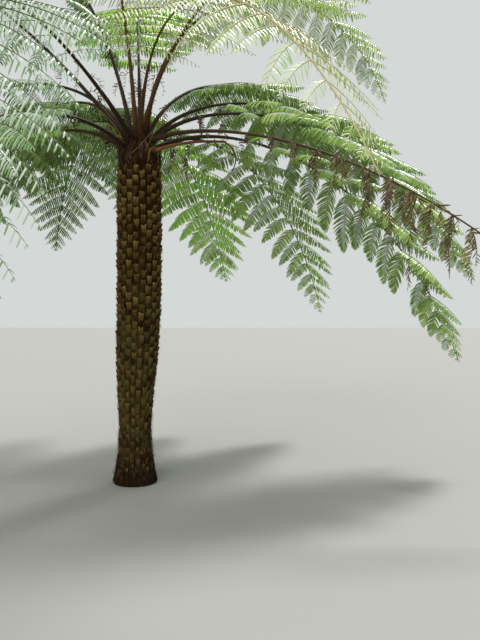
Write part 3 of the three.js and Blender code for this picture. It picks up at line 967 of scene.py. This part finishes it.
# The next two are mostly light tones, a painted reflection of the sky on shiny blades
glossy = {"mid": 2, "cool": 3, "silver": 5, "pale": 1}
sheenCovered = {"silver": 4, "sheenWhite": 3, "cool": 5}
# Pale tones that paint the strong light on the near frond
litPale = {"fresh": 1, "bright": 2, "pale": 6}
dried = {"dry": 5, "umber": 3}
shrivelled = {"dry": 1, "umber": 3, "charred": 3}
# What a frond has where it names nothing else
usual = {
    "skin": "dark",
    "slim": 1,  # its stalk's thickness past the bare part
    "midrib": "green",
    "midribWide": 1,
    "reach": 1,  # its leaflets' length
    "dying": 0.012,  # share of dead leaflets
    "waxed": 0.5,  # share of leaflets with a painted highlight along the midrib
    "level": 0.78,  # how far its leaflets turn from its own plane to the level, to face the sky
    "loose": 1,  # its pinnules' spacing
    "fullness": 1,  # their width
    "fineness": 1,  # their length
    "square": 2.6,  # a higher power keeps them long up to the leaflet's tip
    "swept": 0,  # degrees that the first ones lean forward more
    "limp": 1,  # how far their tips hang
}
# Each has its place round the crown, its heading, its climb at its foot and its tip, how soon it bends (a
# lower power is sooner), its length, how far it turns aside on its way, its tones, and what is unusual
frondKeys = ("seat", "azimuth", "rise", "fall", "early", "length", "sway", "tones")
fronds = {
    "low_right": (12, 10, 53, -70, 0.44, 2150, 2, olive,
                  dict(dying=0.08, fullness=1.15, level=0.55, limp=0.8)),
    "low_back_right": (50, 55, 50, -68, 0.6, 2150, -3, olive, dict(fullness=1.18, level=0.3, limp=0.5)),
    # Fewer of its leaflets have the painted highlight
    "low_back": (84, 83, 51, -60, 0.64, 2050, -12, clear,
                 dict(dying=0.04, fullness=1.18, level=0.3, limp=0.5, waxed=0.3)),
    "low_back_left": (120, 120, 51, -66, 0.9, 2050, -2, lush, {}),
    "low_left_back": (156, 150, 50, -60, 0.6, 2050, 0, lush, dict(dying=0.06)),
    "low_left": (214, 228, 56, -70, 0.4, 2050, 40, glossy,
                 dict(fullness=0.62, reach=1.12, loose=1.3, fineness=1.1)),
    "mid_withered": (-18, -13, 30, -46, 0.4, 2150, -6, dried, dict(skin="brown")),
    "mid_right": (14, 17, 62, -57, 0.48, 2200, 0, olive, dict(fullness=1.15, level=0.55, limp=0.8)),
    "mid_right_back": (45, 31, 70, -48, 0.5, 2300, -9, olive, dict(fullness=1.15, level=0.55, limp=0.8)),
    "mid_back_right": (76, 56, 72, -38, 0.65, 2300, -4, lush, {}),
    "mid_back": (107, 100, 62, -48, 0.7, 2200, 2, lush, {}),
    "mid_back_left": (139, 134, 60, -50, 0.7, 2200, 0, lush, {}),
    "mid_left": (171, 161, 76, -72, 0.64, 2150, 4, glossy, dict(fullness=0.8, loose=1.2)),
    "mid_left_front": (206, 204, 48, -50, 1.6, 2350, 8, glossy,
                       dict(fullness=0.75, loose=1.25, fineness=1.05)),
    # Its blades shine with a painted sheen
    "mid_front_left": (245, 243, 38, -84, 0.93, 2430, 66, sheenCovered,
                       dict(fullness=0.42, fineness=0.85, loose=1.25, square=5, swept=16, level=0.3,
                            limp=0.55)),
    # Pale from painted strong light
    "mid_front_right": (284, 283, 75, -65, 0.54, 2150, 32, litPale,
                        dict(skin="pale", midrib="golden", midribWide=1.5, slim=0.75, fullness=0.5,
                             fineness=0.85, loose=1.3, level=0.1, swept=26, limp=0.3)),
    "top_front": (252, 256, 81, -12, 1.4, 2050, 2, sunny,
                  dict(skin="redBrown", fullness=0.62, fineness=0.92, loose=1.3)),
    "top_right_front": (308, 308, 74, -52, 0.7, 2300, 12, sunny,
                        dict(skin="redBrown", fullness=0.62, fineness=0.92, loose=1.25)),
    "top_right": (5, 20, 88, -66, 1.1, 2150, 14, sunny, dict(fullness=0.8)),
    "top_back": (90, 104, 76, -18, 1.25, 2150, -13, clear, {}),
    "top_left": (166, 170, 78, -14, 1.5, 2250, 0, lush, {}),
}


def buildFrond(name, frond, serial):
    ring = name.split("_")[0]
    line = middleLine(frond, ringPoint(rings[ring], frond["seat"]), stalk["roll"] * jitter(serial, 7))
    scalyStalks.append((line, serial))
    bare = frond["length"] * stalk["bareShare"]
    distance = frond["length"] * (np.arange(stalk["tubeSteps"] + 1) / stalk["tubeSteps"]) ** stalk["crowding"]
    shares = np.clip((distance - bare) / (frond["length"] - bare), 0, 1)
    radii = np.where(distance < bare, mix(stalk["baseRadius"], stalk["bladeRadius"], distance / bare),
                     mix(stalk["bladeRadius"], stalk["tipRadius"], shares))
    radii *= mix(1, frond["slim"], np.minimum(1, distance / bare))
    radii[-1] = stalk["tipEnd"]
    feet, feetRadii = growFoot(ring, frond["seat"])
    skin = skins[frond["skin"]]
    tube = (np.vstack([feet, line(distance)[0]]), np.concatenate([feetRadii, radii]), 0)
    ribs = growMidribs(frond, line, serial)
    ribRadii = mix(*leaflet["midribRadius"], np.arange(leaflet["steps"] + 1) / leaflet["steps"])
    tubes = []
    for rib in ribs:
        tone = midribNames.index("brown" if rib["dead"] else frond["midrib"]) + 1
        thickness = max(leaflet["midribThinnest"], rib["length"] / leaflet["length"]) * frond["midribWide"]
        tubes.append((rib["points"], ribRadii * thickness, tone))
    midribs = joinTubes("frond_" + name + "_midribs", tubes, 0, [skin] + midribMaterials)
    rachis = joinTubes("frond_" + name + "_stalk", [tube], 4, [skin])
    placed, faces, slots = growPinnules(frond, ribs, serial)
    blades = joinCopies("frond_" + name + "_leaflets", placed, faces, slots, leafMaterials)
    nodes = ["frond_" + name, "frond_" + name + "_end"]
    for piece in (rachis, midribs, blades):
        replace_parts(piece, *nodes)
    return len(placed)


scalyStalks = []
pinnuleCount = 0
for index, (frondName, (*shape, unusual)) in enumerate(fronds.items()):
    pinnuleCount += buildFrond(frondName, {**usual, **dict(zip(frondKeys, shape)), **unusual}, index + 1)
buildStalkScales()
print("fronds made, pinnules:", pinnuleCount)

# The dead stalk that snapped, and the thin end that hangs from the break
broken = {
    "ring": (78, 1584),
    "parts": {
        "broken_stalk": dict(azimuth=-26, rise=13, fall=-5, early=0.8, length=360, sway=22, radii=(8.5, 5),
                             steps=24, roundness=4, swell=8),
        "broken_stalk_end": dict(azimuth=-8, rise=-30, fall=-130, early=1.1, length=165, sway=-10,
                                 radii=(3.5, 2.5), steps=16, roundness=2, swell=0),
    },
    "swollen": 0.14,  # share of it that swells towards its root
}


def buildBroken():
    parts = broken["parts"]
    start = ringPoint(broken["ring"], parts["broken_stalk"]["azimuth"])
    for name, limb in parts.items():
        shares = np.arange(limb["steps"] + 1) / limb["steps"]
        points = middleLine(limb, start, 0)(shares * limb["length"])[0]
        swell = limb["swell"] * np.maximum(0, 1 - shares / broken["swollen"]) ** 2
        tube = (points, mix(*limb["radii"], shares) + swell, 0)
        piece = joinTubes(name + "_skin", [tube], limb["roundness"], [skins["dead"]])
        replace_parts(piece, name)
        start = points[-1]


buildBroken()
print("broken stalk made")

# Thin dead wisps that stick out of the crown, in millimetres and degrees
wisps = {
    "radii": (1.7, 0.7),
    "points": 15,
    "keys": ("start", "azimuth", "rise", "fall", "length", "sway"),
    "limbs": [
        ((2, -104, 1558), -20, 34, 66, 290, 10),
        ((-46, -80, 1630), 196, 62, 30, 240, -12),
        ((60, -92, 1570), -35, 50, 72, 210, 16),
        ((-70, -60, 1590), 215, -20, -60, 120, 20),
        ((30, 100, 1590), 80, 30, -40, 210, 30),
        ((104, 30, 1570), 20, 10, -70, 150, -30),
    ],
}


def buildWisps():
    shares = np.linspace(0, 1, wisps["points"])
    tubes = []
    for limb in wisps["limbs"]:
        wisp = dict(zip(wisps["keys"], limb), early=1)
        points = middleLine(wisp, np.array(wisp["start"], float), 0)(shares * wisp["length"])[0]
        tubes.append((points, mix(*wisps["radii"], shares), 0))
    joinTubes("crown_wisps", tubes, 0, [fibreMaterials[straw]])


buildWisps()
print("wisps made")

# Stage: a pale floor, wide soft lamps that shine from a direction, and the camera of the photograph
stage = {
    "floorColour": "#92918d",
    "floorHeight": -0.001,
    "skyColour": "#e4e8e6",
    "skyStrength": 0.85,
    "lamps": {
        "overhead": dict(toward=(0.28, 0.45, 0.85), energy=3.5, spread=10),
        "front": dict(toward=(-0.3, -0.85, 0.4), energy=2.0, spread=40),
    },
    "camera": (0.505, -3.0, 0.78),
    "lens": 35,
    "film": 36,
}


def buildStage():
    bm = bmesh.new()
    bmesh.ops.create_grid(bm, x_segments=1, y_segments=1, size=60)
    mesh = bpy.data.meshes.new("floor")
    bm.to_mesh(mesh)
    bm.free()
    finish = {"Base Color": linearColour(stage["floorColour"]), "Roughness": 0.9}
    mesh.materials.append(newMaterial("palePlaster", finish)[0])
    floor = addObject("floor", mesh)
    floor.location.z = stage["floorHeight"]
    world = bpy.data.worlds.new("studio")
    world.use_nodes = True
    sky = world.node_tree.nodes["Background"]
    sky.inputs["Color"].default_value = linearColour(stage["skyColour"])
    sky.inputs["Strength"].default_value = stage["skyStrength"]
    bpy.context.scene.world = world
    for name, lamp in stage["lamps"].items():
        light = bpy.data.lights.new(name, "SUN")
        light.energy = lamp["energy"]
        light.angle = np.radians(lamp["spread"])
        holder = addObject(name, light)
        holder.rotation_euler = (-Vector(lamp["toward"])).to_track_quat("-Z", "Y").to_euler()


def buildCamera():
    lens = bpy.data.cameras.new("camera")
    lens.lens = stage["lens"]
    lens.sensor_width = stage["film"]
    camera = addObject("camera", lens)
    camera.location = stage["camera"]
    camera.rotation_euler = (np.pi / 2, 0, 0)
    bpy.context.scene.camera = camera


buildStage()
buildCamera()
bpy.context.scene.view_settings.view_transform = "Standard"
print("stage made")
